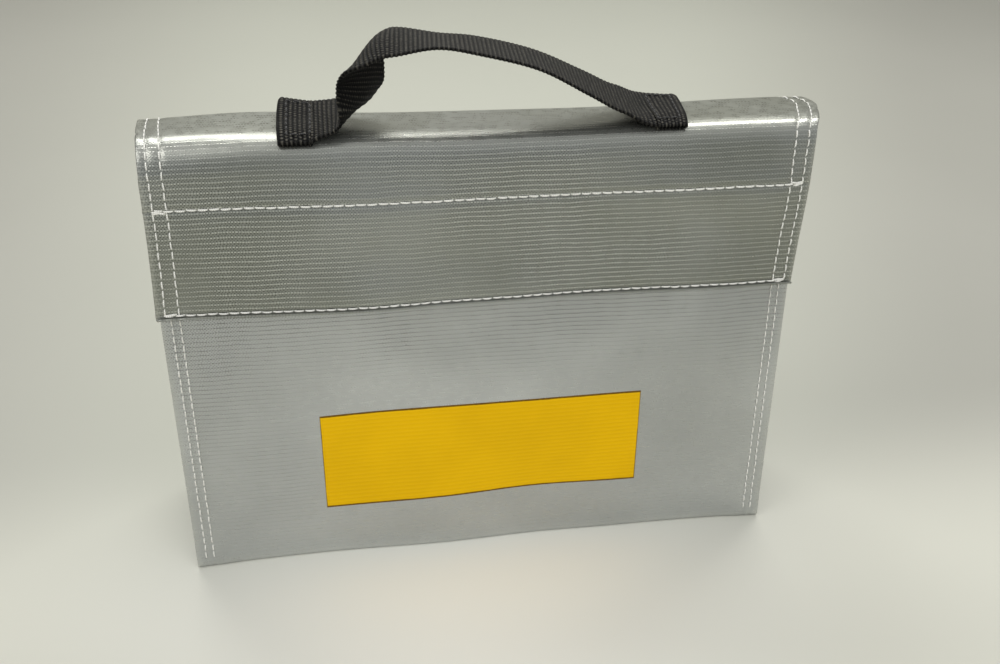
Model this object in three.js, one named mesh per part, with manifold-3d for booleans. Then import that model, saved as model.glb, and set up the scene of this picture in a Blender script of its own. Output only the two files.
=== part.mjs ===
// Silver coated cloth pouch for model batteries, standing closed on its unfolded base.
// Millimetres, Z up, X across the front, the front faces -Y.
// The origin is on the floor, at the middle of the base.

import * as THREE from 'three';
import Module from 'manifold-3d';
import { mergeVertices } from 'three/addons/utils/BufferGeometryUtils.js';

const wasm = await Module();
wasm.setup();

// Cloth and clearances
const clothThickness = 0.9;
const layGap = 0.3; // between pieces that lie on each other
const cutOverrun = 0.4; // how far pieces reach into each other before they are joined

// Bag
const bagWidth = 240; // over the two seam fins
const bagDepth = 64; // over the base, front to back
const finWidth = 8; // seam allowance that stands out at each side
const bottomRadius = 3; // rolled lower edges of front and back
const frontLean = 5.3; // degrees
const frontSlant = 175.1; // along the front, from the floor to the top fold
const mouthSlant = 166; // along the front, up to the edge of the mouth
const mouthHem = 15;
const gussetDrop = 1.5; // gusset's top edge below the edge of the mouth
const seamLip = 2; // base seam that shows inside the gusset

// Top strip and folds
const topOverhang = 1; // past the bag's edge at each side
const topWidth = bagWidth + 2 * topOverhang;
const topDepth = 26.2; // from fold to fold
const topRise = 2.6; // degrees, up towards the back
const foldRadius = 1.5; // rolled cloth at each fold

// Closing strips and flap
const flapOverhang = 1.5; // past the bag's edge at each side
const flapWidth = bagWidth + 2 * flapOverhang;
const flapDrop = 63; // from its fold to its lower edge
const flapHem = 43; // turned up behind the lower edge
const sideHem = 9; // turned in at each side edge
const hemThickness = 1.5; // the two layers of a hem
const stripInset = 9; // from the bag's edge to the end of a strip
const stripLength = bagWidth - 2 * stripInset;
const stripHeight = 37;
const loopThickness = 1;
const hookThickness = 1;
const stripEdge = 3.4; // from the flap's lower edge to the hook strip

// Yellow panel printed on the front
const labelWidth = 128;
const labelHeight = 43;
const labelSlant = 24.5; // along the front, from the floor to its lower edge
const labelShift = -1.5; // off the middle of the front
const labelThickness = 0.2;

// Sewing thread
const threadWidth = 0.7;
const threadHeight = 0.4;
const threadGap = 0.1; // thread to cloth
const bodyRowInsets = [3.9, 6.9]; // rows of the body seams, in from the edge
const flapRowInsets = [2.5, 7.2]; // rows of the flap and the top strip, in from the edge
const rowEnd = 1.5; // from the end of a row to the end of its cloth
const lowerRowSlant = 3.1; // above the flap's lower edge
const rowSpacing = 39.5; // between the flap's two level rows
const loopRowInset = 2.5; // rows that hold the loop strip, in from its edges

// Webbing handle
const strapWidth = 25;
const strapThickness = 1.5;
const handleSpan = 145; // between its two sewn ends
const handleRise = 29; // crest above the top strip
const handleShift = 0.5; // off the middle of the top strip, to the right
const handleForward = 1.1; // off the middle of the top strip, to the front
const endLength = 10.5; // folded under and sewn twice as thick
const endRowInset = 1.8;
const turnedEnd = 1.2; // corner cut of the folded ends

// Stations of the strap's middle line, from the left end to the right one, chosen by eye:
// share of the span, of the width (to the back), of the rise, and bulge as a share of the width
const endShare = (endLength + layGap) / handleSpan;
const endRiseShare = (layGap + strapThickness) / handleRise;
const routeShares = [
  [endShare, 0.01, endRiseShare, 0],
  [0.131, 0.01, 0.114, 0.01],
  [0.159, 0.02, 0.197, -0.06],
  [0.175, 0.04, 0.307, -0.12],
  [0.190, 0.04, 0.410, -0.12],
  [0.201, 0.02, 0.538, -0.04],
  [0.211, 0.00, 0.693, 0.07],
  [0.229, 0.00, 0.838, 0.13],
  [0.256, 0.00, 0.952, 0.10],
  [0.295, 0.00, 1.000, 0.03],
  [0.386, 0.00, 0.980, 0],
  [0.483, 0.00, 0.930, 0],
  [0.624, 0.00, 0.745, 0],
  [0.750, 0.00, 0.452, 0],
  [0.834, 0.00, 0.231, 0],
  [1 - endShare, 0.01, endRiseShare, 0],
];
// Turn of the strap's width about Z, and lift of its near edge, at each station
const routeTurns = [
  [0, -3], [0, -5], [8, -2], [20, 5], [33, 11], [39, 13], [33, 10], [19, 2],
  [8, -5], [4, -5], [5, 4], [5, 2], [5, 1], [6, -4], [6, -5], [0, -3],
];
const rootStation = 4; // where the left root ends and the arch begins
const fallStation = 13.4; // where the arch ends and the right root begins
const stepsPerStation = 4;

const rad = THREE.MathUtils.degToRad;

// Materials
const paint = (color, roughness, metalness) =>
  new THREE.MeshStandardMaterial({ color, roughness, metalness });
const silver = 0xa2a39d;
const black = 0x1b1b1d;
const threadWhite = 0xe6e3d6;
const labelYellow = 0xf0b40a;

const group = new THREE.Group();

function addMesh(name, geometry, material) {
  const mesh = new THREE.Mesh(geometry, material);
  mesh.name = name;
  group.add(mesh);
  return mesh;
}

// Side profiles are drawn as points [y, z] and extruded across the bag.
function extrudeAcross(points, width, middle = 0) {
  const shape = new THREE.Shape(points.map(([y, z]) => new THREE.Vector2(y, z)));
  const geometry = new THREE.ExtrudeGeometry(shape, { depth: width, bevelEnabled: false });
  const profileToSide = new THREE.Matrix4().makeBasis(
    new THREE.Vector3(0, 1, 0),
    new THREE.Vector3(0, 0, 1),
    new THREE.Vector3(1, 0, 0),
  );
  profileToSide.setPosition(middle - width / 2, 0, 0);
  return geometry.applyMatrix4(profileToSide);
}

function toManifold(geometry) {
  const bare = geometry.clone();
  bare.deleteAttribute('normal');
  bare.deleteAttribute('uv');
  const merged = mergeVertices(bare);
  const vertProperties = new Float32Array(merged.attributes.position.array);
  const triVerts = new Uint32Array(merged.index.array);
  return new wasm.Manifold(new wasm.Mesh({ numProp: 3, vertProperties, triVerts }));
}

function join(...geometries) {
  const joined = geometries.map(toManifold).reduce((whole, piece) => whole.add(piece));
  const { vertProperties, triVerts } = joined.getMesh();
  const geometry = new THREE.BufferGeometry();
  geometry.setAttribute('position', new THREE.BufferAttribute(vertProperties, 3));
  geometry.setIndex(new THREE.BufferAttribute(triVerts, 1));
  return geometry;
}

// Closed skin over rings with the same number of points; the ends are capped in their own plane.
// Each patch is split along its shorter diagonal, so the two skins of a thin layer stay parallel.
function loft(rings, capPoints) {
  const points = rings.flat();
  const positions = points.flatMap((point) => point.toArray());
  const size = rings[0].length;
  const faces = [];
  for (let ring = 0; ring < rings.length - 1; ring += 1) {
    for (let k = 0; k < size; k += 1) {
      const a = ring * size + k;
      const b = ring * size + ((k + 1) % size);
      const c = a + size;
      const d = b + size;
      if (points[b].distanceTo(points[c]) < points[a].distanceTo(points[d])) {
        faces.push(a, b, c, b, d, c);
      } else {
        faces.push(a, b, d, a, d, c);
      }
    }
  }
  const last = (rings.length - 1) * size;
  for (const [a, b, c] of THREE.ShapeUtils.triangulateShape(capPoints(rings[0]), [])) {
    faces.push(a, c, b);
  }
  for (const [a, b, c] of THREE.ShapeUtils.triangulateShape(capPoints(rings.at(-1)), [])) {
    faces.push(last + a, last + b, last + c);
  }
  const geometry = new THREE.BufferGeometry();
  geometry.setAttribute('position', new THREE.Float32BufferAttribute(positions, 3));
  geometry.setIndex(faces);
  return geometry;
}

// Planes of the front and the back, in side view
const footY = bagDepth / 2;
const frontUp = [Math.sin(rad(frontLean)), Math.cos(rad(frontLean))];
const frontOut = [-frontUp[1], frontUp[0]];
const sidePoint = (foot, up, out) => (along, off) => [
  foot + along * up[0] + off * out[0],
  along * up[1] + off * out[1],
];
const frontPoint = sidePoint(-footY, frontUp, frontOut);

// The closing strips lie on the front, the flap lies on them.
const loopOff = layGap;
const hookOff = loopOff + loopThickness + layGap;
const flapInnerOff = hookOff + hookThickness + layGap;
const flapOuterOff = flapInnerOff + hemThickness;
const frontFold = frontPoint(frontSlant, flapOuterOff - foldRadius);
const topBack = [Math.cos(rad(topRise)), Math.sin(rad(topRise))];
const backFold = [frontFold[0] + topDepth * topBack[0], frontFold[1] + topDepth * topBack[1]];

// The back runs from its foot to the rolled fold that it is tangent to.
const backRun = footY - backFold[0];
const backReach = Math.hypot(backRun, backFold[1]);
const backLeanAngle = Math.atan2(backRun, backFold[1]) - Math.asin(foldRadius / backReach);
const backUp = [-Math.sin(backLeanAngle), Math.cos(backLeanAngle)];
const backOut = [backUp[1], -backUp[0]];
const backPoint = sidePoint(footY, backUp, backOut);
const backFoldSlant = Math.sqrt(backReach ** 2 - foldRadius ** 2);
const backSlant = backFoldSlant - foldRadius - layGap;

const arcSteps = 6;

function arcPoints(centre, radius, from, to, steps) {
  return Array.from({ length: steps + 1 }, (_, k) => {
    const angle = from + ((to - from) * k) / steps;
    return [centre[0] + radius * Math.cos(angle), centre[1] + radius * Math.sin(angle)];
  });
}

// Front or back cloth in side view: rolled at the floor, straight up to its end
function wallProfile(pointAt, out, slant) {
  const tangentSlant = (bottomRadius * (1 + out[1])) / Math.abs(out[0]);
  const centre = pointAt(tangentSlant, -bottomRadius);
  const down = -Math.PI / 2;
  const outAngle = Math.atan2(out[1], out[0]);
  const turn = out[0] < 0 ? outAngle - 2 * Math.PI : outAngle;
  return [
    ...arcPoints(centre, bottomRadius, down, turn, arcSteps),
    pointAt(slant, 0),
    pointAt(slant, -clothThickness),
    ...arcPoints(centre, bottomRadius - clothThickness, turn, down, arcSteps),
  ];
}

const wallCentreY = (pointAt, out) =>
  pointAt((bottomRadius * (1 + out[1])) / Math.abs(out[0]), -bottomRadius)[0];

// Front cloth with its hem turned in at the mouth
const innerWidth = bagWidth - 2 * finWidth;
const mouthHemProfile = [
  frontPoint(mouthSlant, -cutOverrun),
  frontPoint(mouthSlant, -hemThickness),
  frontPoint(mouthSlant - mouthHem, -hemThickness),
  frontPoint(mouthSlant - mouthHem, -cutOverrun),
];
const frontGeometry = join(
  extrudeAcross(wallProfile(frontPoint, frontOut, mouthSlant), bagWidth),
  extrudeAcross(mouthHemProfile, innerWidth - 2 * clothThickness),
);
addMesh('front_panel', frontGeometry, paint(silver, 0.45, 0.35));

addMesh(
  'back_panel',
  extrudeAcross(wallProfile(backPoint, backOut, backSlant), bagWidth),
  paint(silver, 0.45, 0.35),
);

// Base cloth between the two rolled edges
const baseFront = wallCentreY(frontPoint, frontOut) + layGap;
const baseBack = wallCentreY(backPoint, backOut) - layGap;
const baseGeometry = new THREE.BoxGeometry(bagWidth, baseBack - baseFront, clothThickness);
const base = addMesh('base_panel', baseGeometry, paint(silver, 0.5, 0.3));
base.position.set(0, (baseFront + baseBack) / 2, clothThickness / 2);

// Inner faces of front and back at a height, rolled part included
function innerFaceY(pointAt, up, out, height) {
  const side = Math.sign(out[0]);
  const innerRadius = bottomRadius - clothThickness;
  if (height < bottomRadius) {
    const drop = bottomRadius - height;
    return wallCentreY(pointAt, out) + side * Math.sqrt(innerRadius ** 2 - drop ** 2);
  }
  const along = (height + clothThickness * out[1]) / up[1];
  return pointAt(along, -clothThickness)[0];
}

// Gussets: flat across at the base, folded inwards in a V towards the mouth
const gussetBottom = clothThickness + layGap;
const gussetTop = frontPoint(mouthSlant - gussetDrop, 0)[1];
const gussetLevels = 12;
const flangeFront = (height) =>
  innerFaceY(frontPoint, frontUp, frontOut, height) + layGap + clothThickness / 2;
const flangeBack = (height) =>
  innerFaceY(backPoint, backUp, backOut, height) - layGap - clothThickness / 2;

// The pleat stands in its seam allowance on the base and starts to fold in above it.
const pleatBottom = gussetBottom + cutOverrun;
const pleatFoot = gussetBottom + clothThickness + cutOverrun;

// Half the room between the two walls, taken as plane down to the floor
const roomHalf = (height) =>
  (backPoint(height / backUp[1], 0)[0] - frontPoint(height / frontUp[1], 0)[0]) / 2;
const pleatReach = roomHalf(pleatFoot);

// Outline of a cloth layer around a middle line, with mitred corners
function layerOutline(line, thickness) {
  const left = [];
  const right = [];
  line.forEach((point, k) => {
    const before = line[Math.max(k - 1, 0)];
    const after = line[Math.min(k + 1, line.length - 1)];
    const inDir = new THREE.Vector2().subVectors(point, k > 0 ? before : after).normalize();
    if (k === 0) inDir.negate();
    const outDir = new THREE.Vector2().subVectors(after, k < line.length - 1 ? point : before);
    outDir.normalize();
    const bisector = new THREE.Vector2().addVectors(inDir, outDir).normalize();
    const normal = new THREE.Vector2(-bisector.y, bisector.x);
    const reach = thickness / 2 / bisector.dot(outDir);
    left.push(point.clone().addScaledVector(normal, reach));
    right.push(point.clone().addScaledVector(normal, -reach));
  });
  return [...left, ...right.reverse()];
}

// One ring of the right gusset, with the outline that belongs to a height
function gussetRing(height, level) {
  const wall = innerWidth / 2;
  const edge = bagWidth / 2 - layGap;
  const front = flangeFront(height);
  const back = flangeBack(height);
  const inward = Math.sqrt(Math.max(pleatReach ** 2 - roomHalf(height) ** 2, 0));
  const line = [
    new THREE.Vector2(edge, front),
    new THREE.Vector2(wall, front),
    new THREE.Vector2(wall - inward, (front + back) / 2),
    new THREE.Vector2(wall, back),
    new THREE.Vector2(edge, back),
  ];
  const outline = layerOutline(line, clothThickness).reverse();
  return outline.map(({ x, y }) => new THREE.Vector3(x, y, level));
}

const baseSeamDepth = flangeBack(pleatBottom) - flangeFront(pleatBottom);
const baseSeamMiddle = (flangeBack(pleatBottom) + flangeFront(pleatBottom)) / 2;

const flatCap = (ring) => ring.map(({ x, y }) => new THREE.Vector2(x, y));

function gussetGeometry() {
  const rings = [gussetRing(pleatBottom, pleatBottom), gussetRing(pleatBottom, pleatFoot)];
  for (let k = 1; k <= gussetLevels; k += 1) {
    const height = pleatFoot + (gussetTop - pleatFoot) * (k / gussetLevels) ** 2;
    rings.push(gussetRing(height, height));
  }
  const seamWidth = finWidth + seamLip;
  const seam = new THREE.BoxGeometry(seamWidth, baseSeamDepth, clothThickness);
  seam.translate(
    bagWidth / 2 - layGap - cutOverrun - seamWidth / 2,
    baseSeamMiddle,
    gussetBottom + clothThickness / 2,
  );
  return join(loft(rings, flatCap), seam);
}

// The same shape on the other side of the middle, its faces still pointing out
function mirrored(geometry) {
  const copy = geometry.clone().scale(-1, 1, 1);
  const corners = copy.index.array;
  for (let k = 0; k < corners.length; k += 3) {
    [corners[k], corners[k + 1]] = [corners[k + 1], corners[k]];
  }
  return copy;
}

const gusset = gussetGeometry();
addMesh('left_gusset', mirrored(gusset), paint(silver, 0.5, 0.3));
addMesh('right_gusset', gusset, paint(silver, 0.5, 0.3));

// Cloth that hangs from a rolled fold: a round bead with a flat layer tangent to it.
// The layer gets a hem's thickness beyond hemStart.
function beadedLayer(bead, along, out, length, hemStart) {
  const at = (run, off) => [
    bead[0] + run * along[0] + off * out[0],
    bead[1] + run * along[1] + off * out[1],
  ];
  const innerOff = foldRadius - clothThickness;
  const hemOff = foldRadius - hemThickness;
  const beadRun = Math.sqrt(foldRadius ** 2 - innerOff ** 2);
  const fromAngle = Math.PI / 2;
  const toAngle = 2 * Math.PI + Math.atan2(innerOff, beadRun);
  const round = arcPoints([0, 0], foldRadius, fromAngle, toAngle, 3 * arcSteps);
  const points = round.map(([run, off]) => at(run, off));
  if (hemStart < length) {
    points.push(at(hemStart, innerOff), at(hemStart, hemOff), at(length, hemOff));
  } else {
    points.push(at(length, innerOff));
  }
  points.push(at(length, foldRadius));
  return points;
}

const turned = (points) => points.slice().reverse();

// Top strip between the two folds
const topForward = [-topBack[0], -topBack[1]];
const topOut = [-topBack[1], topBack[0]];
const topLength = topDepth - foldRadius - layGap;
addMesh(
  'top_strip',
  extrudeAcross(turned(beadedLayer(backFold, topForward, topOut, topLength, topLength)), topWidth),
  paint(silver, 0.4, 0.4),
);

// Flap: hems turned up below and in at both sides
const flapDown = [-frontUp[0], -frontUp[1]];
const flapMiddle = beadedLayer(frontFold, flapDown, frontOut, flapDrop, flapDrop - flapHem);
const hemRoundOff = foldRadius + layGap;
const flapSide = beadedLayer(frontFold, flapDown, frontOut, flapDrop, hemRoundOff);
const sideMiddle = (flapWidth - sideHem) / 2;
addMesh(
  'flap_panel',
  join(
    extrudeAcross(flapMiddle, flapWidth),
    extrudeAcross(flapSide, sideHem, -sideMiddle),
    extrudeAcross(flapSide, sideHem, sideMiddle),
  ),
  paint(silver, 0.4, 0.4),
);

// Flat plate or thread bead laid on a slanted plane of the side view
function layOn(name, pointAt, up, slant, off, size, x, material) {
  const [across, along, thickness] = size;
  const geometry = new THREE.BoxGeometry(across, along, thickness);
  const mesh = addMesh(name, geometry, material);
  const [y, z] = pointAt(slant, off + thickness / 2);
  mesh.position.set(x, y, z);
  const outward = pointAt(0, 1)[0] - pointAt(0, 0)[0];
  const facing = new THREE.Vector3(0, outward, pointAt(0, 1)[1] - pointAt(0, 0)[1]);
  const upward = new THREE.Vector3(0, up[0], up[1]);
  const sideways = new THREE.Vector3().crossVectors(upward, facing);
  mesh.quaternion.setFromRotationMatrix(new THREE.Matrix4().makeBasis(sideways, upward, facing));
  return mesh;
}

const flapEdgeSlant = frontSlant - flapDrop;
const stripSlant = flapEdgeSlant + stripEdge + stripHeight / 2;
const stripSize = (thickness) => [stripLength, stripHeight, thickness];
layOn('loop_strip', frontPoint, frontUp, stripSlant, loopOff, stripSize(loopThickness), 0,
  paint(black, 0.95, 0));
layOn('hook_strip', frontPoint, frontUp, stripSlant, hookOff, stripSize(hookThickness), 0,
  paint(black, 0.85, 0));
layOn('label_panel', frontPoint, frontUp, labelSlant + labelHeight / 2, threadGap,
  [labelWidth, labelHeight, labelThickness], labelShift, paint(labelYellow, 0.6, 0));

// Rows of thread up the body seams and the side hems
const thread = () => paint(threadWhite, 0.8, 0);
const sides = [['left', -1], ['right', 1]];
const rows = ['outer', 'inner'];

for (const [sideName, side] of sides) {
  rows.forEach((row, k) => {
    const bodyX = side * (bagWidth / 2 - bodyRowInsets[k]);
    const rowFoot = bottomRadius + rowEnd;
    const frontRow = mouthSlant - rowEnd - rowFoot;
    layOn(`front_${sideName}_${row}_thread`, frontPoint, frontUp, rowFoot + frontRow / 2, threadGap,
      [threadWidth, frontRow, threadHeight], bodyX, thread());
    const backRow = backSlant - rowEnd - rowFoot;
    layOn(`back_${sideName}_${row}_thread`, backPoint, backUp, rowFoot + backRow / 2, threadGap,
      [threadWidth, backRow, threadHeight], bodyX, thread());
    const flapX = side * (flapWidth / 2 - flapRowInsets[k]);
    const flapRow = flapDrop - rowEnd - foldRadius;
    layOn(`flap_${sideName}_${row}_thread`, frontPoint, frontUp,
      flapEdgeSlant + rowEnd + flapRow / 2, flapOuterOff + threadGap,
      [threadWidth, flapRow, threadHeight], flapX, thread());
    const topX = side * (topWidth / 2 - flapRowInsets[k]);
    const topPoint = (along, off) => [
      backFold[0] + along * topForward[0] + (foldRadius + off) * topOut[0],
      backFold[1] + along * topForward[1] + (foldRadius + off) * topOut[1],
    ];
    const topRow = topLength - rowEnd;
    layOn(`top_${sideName}_${row}_thread`, topPoint, topForward, topRow / 2, threadGap,
      [threadWidth, topRow, threadHeight], topX, thread());
  });
}

// Level rows of the flap, sewn over its side rows
const levelRowOff = flapOuterOff + threadGap + threadHeight + threadGap;
const levelRowLength = flapWidth - 2 * flapRowInsets[0];
const levelRows = [['lower', 0], ['upper', rowSpacing]];
for (const [row, lift] of levelRows) {
  layOn(`flap_${row}_thread`, frontPoint, frontUp, flapEdgeSlant + lowerRowSlant + lift, levelRowOff,
    [levelRowLength, threadWidth, threadHeight], 0, thread());
}

// Rows that hold the loop strip, seen on the inner face of the front
const loopRowLength = stripLength - 2 * loopRowInset;
const loopRowReach = stripHeight / 2 - loopRowInset;
for (const [row, side] of [['lower', -1], ['upper', 1]]) {
  layOn(`loop_${row}_thread`, frontPoint, frontUp, stripSlant + side * loopRowReach,
    -clothThickness - threadGap - threadHeight, [loopRowLength, threadWidth, threadHeight], 0,
    thread());
}

// Rows that join the gussets to the base, on the upper face of the seam
for (const [sideName, side] of sides) {
  const rowLength = baseSeamDepth - 2 * rowEnd;
  const row = addMesh(
    `base_${sideName}_thread`,
    new THREE.BoxGeometry(threadWidth, rowLength, threadHeight),
    thread(),
  );
  row.position.set(
    side * (bagWidth / 2 - finWidth / 2),
    baseSeamMiddle,
    gussetBottom + clothThickness + threadGap + threadHeight / 2,
  );
}

// Handle: the place of a station, from its shares
const topMiddle = [(frontFold[0] + backFold[0]) / 2, (frontFold[1] + backFold[1]) / 2];
const strapY = topMiddle[0] + foldRadius * topOut[0] - handleForward;
const strapZ = topMiddle[1] + foldRadius * topOut[1];
const stationPoint = ([along, across, rise]) =>
  new THREE.Vector3(
    handleShift + (along - 1 / 2) * handleSpan,
    strapY + across * strapWidth,
    strapZ + rise * handleRise,
  );
const route = new THREE.CatmullRomCurve3(routeShares.map(stationPoint), false, 'centripetal');

const between = (list, place, index) => {
  const k = Math.min(Math.floor(place), list.length - 2);
  return THREE.MathUtils.lerp(list[k][index], list[k + 1][index], place - k);
};

// One ring of the strap: near edge, middle and far edge, on its lower and its upper face
function strapRing(place) {
  const share = place / (routeShares.length - 1);
  const middle = route.getPoint(share);
  const run = route.getTangent(share);
  const turn = rad(between(routeTurns, place, 0));
  const lift = rad(between(routeTurns, place, 1));
  const near = new THREE.Vector3(
    -Math.sin(turn) * Math.cos(lift),
    -Math.cos(turn) * Math.cos(lift),
    Math.sin(lift),
  );
  const face = new THREE.Vector3().crossVectors(near, run).normalize();
  const bulge = between(routeShares, place, 3) * strapWidth;
  const railPoint = (reach, off) =>
    middle.clone()
      .addScaledVector(near, (reach * strapWidth) / 2)
      .addScaledVector(face, bulge * (1 - reach ** 2) + (off * strapThickness) / 2);
  const reaches = [1, 0, -1];
  const lower = reaches.map((reach) => railPoint(reach, -1));
  const upper = reaches.map((reach) => railPoint(reach, 1)).reverse();
  return [...lower, ...upper];
}

// The cap of a strap ring is drawn in the ring's own two directions.
function strapCap(ring) {
  const across = new THREE.Vector3().subVectors(ring[2], ring[0]).normalize();
  const through = new THREE.Vector3().subVectors(ring.at(-1), ring[0]).normalize();
  return ring.map((point) => new THREE.Vector2(point.dot(across), point.dot(through)));
}

function strapGeometry(from, to) {
  const steps = Math.ceil((to - from) * stepsPerStation);
  const placeOf = (k) => from + ((to - from) * k) / steps;
  const rings = Array.from({ length: steps + 1 }, (_, k) => strapRing(placeOf(k)));
  return loft(rings, strapCap);
}

const stationStep = route.getLength() / (routeShares.length - 1);
const cutShare = layGap / stationStep;
const lastStation = routeShares.length - 1;
const webbing = () => paint(black, 0.85, 0);
addMesh('handle_left_root', strapGeometry(0, rootStation - cutShare), webbing());
addMesh('handle_strap', strapGeometry(rootStation + cutShare, fallStation - cutShare), webbing());
addMesh('handle_right_root', strapGeometry(fallStation + cutShare, lastStation), webbing());

// Sewn ends: webbing folded under, with a closed row of thread on top
const endOutline = (length, width, cut) => [
  [-length / 2, -width / 2 + cut],
  [-length / 2 + cut, -width / 2],
  [length / 2, -width / 2],
  [length / 2, width / 2],
  [-length / 2 + cut, width / 2],
  [-length / 2, width / 2 - cut],
].map(([x, y]) => new THREE.Vector2(x, y));

function placeOnTop(mesh, x, side, off) {
  mesh.position.set(x, strapY - off * Math.sin(rad(topRise)), strapZ + off * Math.cos(rad(topRise)));
  mesh.rotation.set(rad(topRise), 0, side > 0 ? Math.PI : 0);
}

for (const [sideName, side] of sides) {
  const x = handleShift + side * (handleSpan / 2 - endLength / 2);
  const end = addMesh(
    `handle_${sideName}_end`,
    new THREE.ExtrudeGeometry(new THREE.Shape(endOutline(endLength, strapWidth, turnedEnd)), {
      depth: 2 * strapThickness,
      bevelEnabled: false,
    }),
    webbing(),
  );
  placeOnTop(end, x, side, layGap);
  const ringShape = new THREE.Shape(
    endOutline(endLength - 2 * endRowInset, strapWidth - 2 * endRowInset, threadWidth),
  );
  const hole = endOutline(
    endLength - 2 * endRowInset - 2 * threadWidth,
    strapWidth - 2 * endRowInset - 2 * threadWidth,
    threadWidth,
  );
  ringShape.holes.push(new THREE.Path(hole));
  const ring = addMesh(
    `handle_${sideName}_end_thread`,
    new THREE.ExtrudeGeometry(ringShape, { depth: threadHeight, bevelEnabled: false }),
    paint(black, 0.6, 0),
  );
  placeOnTop(ring, x, side, layGap + 2 * strapThickness + threadGap);
}

export default group;
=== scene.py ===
"""Silver coated cloth bag, closed and standing on its base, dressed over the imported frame."""
import math
import random

import bpy
import numpy as np
from mathutils import Matrix, Vector


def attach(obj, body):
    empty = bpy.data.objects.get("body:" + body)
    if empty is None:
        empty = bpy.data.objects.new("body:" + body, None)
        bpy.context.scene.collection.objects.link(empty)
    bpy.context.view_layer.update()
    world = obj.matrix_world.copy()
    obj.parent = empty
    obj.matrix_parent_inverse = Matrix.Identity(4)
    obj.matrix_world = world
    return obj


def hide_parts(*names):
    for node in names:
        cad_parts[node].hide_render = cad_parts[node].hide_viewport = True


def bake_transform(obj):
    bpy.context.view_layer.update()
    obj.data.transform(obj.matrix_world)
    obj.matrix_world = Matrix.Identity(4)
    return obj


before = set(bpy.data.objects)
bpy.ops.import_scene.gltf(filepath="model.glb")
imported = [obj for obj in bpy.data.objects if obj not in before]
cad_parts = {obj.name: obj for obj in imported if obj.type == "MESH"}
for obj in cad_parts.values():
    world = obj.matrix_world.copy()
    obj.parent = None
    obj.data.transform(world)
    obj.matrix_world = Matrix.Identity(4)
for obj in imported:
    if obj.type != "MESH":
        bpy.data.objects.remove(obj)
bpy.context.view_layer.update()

MM = 0.001

# Sizes in millimetres, as in the part's source. X across the front, the front faces -Y, Z up.
BAG_HALF = 120.0
BAG_DEPTH_HALF = 32.0
FIN = 8.0
CLOTH = 0.9
HEM = 1.5
GAP = 0.3
FRONT_LEAN = math.radians(5.3)
BACK_LEAN = math.radians(7.462)
TOP_RISE = math.radians(2.6)
MOUTH_SLANT = 166.0
MOUTH_HEM = 15.0
FLAP_OFF = 4.4  # outer face of the flap, off the outer face of the front
FLAP_EDGE = 113.1  # lower edge of the flap, along the front
FLAP_HEM = 43.0
FRONT_FOLD = (-18.7135, 174.6193)  # hinge of the flap, in Y and Z
BACK_FOLD = (7.4595, 175.8078)  # hinge of the top strip
BEAD = 1.5
JOIN_SLANT = 166.5  # where the lower and the upper cloth of the back meet
STRAP_Y = -6.8  # middle of the handle
STRIP_HALF = 111.0  # closing strips: half width, lower edge along the front, and height
STRIP_LOW = 115.5
STRIP_HEIGHT = 37.0


def smooth(value, low, high):
    """0 below low, 1 above high and an S-curve between, also for high < low."""
    t = np.clip((np.asarray(value, float) - low) / (high - low), 0, 1)
    return t * t * (3 - 2 * t)


def hill(value, centre, width):
    return np.exp(-(((np.asarray(value, float) - centre) / width) ** 2))


def bumps(x, z, rows):
    """Sum of round bumps: each row has a height, then the middle and width in x and in z."""
    return sum(rise * hill(x, cx, wx) * hill(z, cz, wz) for rise, cx, wx, cz, wz in rows)


def unit(vectors):
    return vectors / np.maximum(np.linalg.norm(vectors, axis=-1, keepdims=True), 1e-9)


# ---- Planes of the walls in side view ----

FRONT_UP = (math.sin(FRONT_LEAN), math.cos(FRONT_LEAN))
FRONT_OUT = (-FRONT_UP[1], FRONT_UP[0])
BACK_UP = (-math.sin(BACK_LEAN), math.cos(BACK_LEAN))
TOP_BACK = (math.cos(TOP_RISE), math.sin(TOP_RISE))
TOP_OUT = (-TOP_BACK[1], TOP_BACK[0])


def front_at(slant, off=0.0):
    """Point of the front in side view: slant up along it, off from its outer face."""
    y = slant * FRONT_UP[0] + off * FRONT_OUT[0] - BAG_DEPTH_HALF
    return (y, slant * FRONT_UP[1] + off * FRONT_OUT[1])


def back_at(slant):
    return (BAG_DEPTH_HALF + slant * BACK_UP[0], slant * BACK_UP[1])


def crossing(p, d, q, e):
    """Where the lines p + t d and q + s e meet."""
    t = ((q[0] - p[0]) * e[1] - (q[1] - p[1]) * e[0]) / (d[0] * e[1] - d[1] * e[0])
    return (p[0] + t * d[0], p[1] + t * d[1])


TOP_POINT = (BACK_FOLD[0] + BEAD * TOP_OUT[0], BACK_FOLD[1] + BEAD * TOP_OUT[1])
BACK_CORNER = crossing(back_at(0), BACK_UP, TOP_POINT, TOP_BACK)
FRONT_CORNER = crossing(front_at(0, FLAP_OFF), FRONT_UP, TOP_POINT, TOP_BACK)
TOP_MIDDLE = tuple((back + front) / 2 for back, front in zip(BACK_CORNER, FRONT_CORNER))


def run_along(points):
    """Length along a line of points, at each of them."""
    return np.concatenate([[0], np.cumsum(np.linalg.norm(np.diff(points, axis=0), axis=1))])


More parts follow.
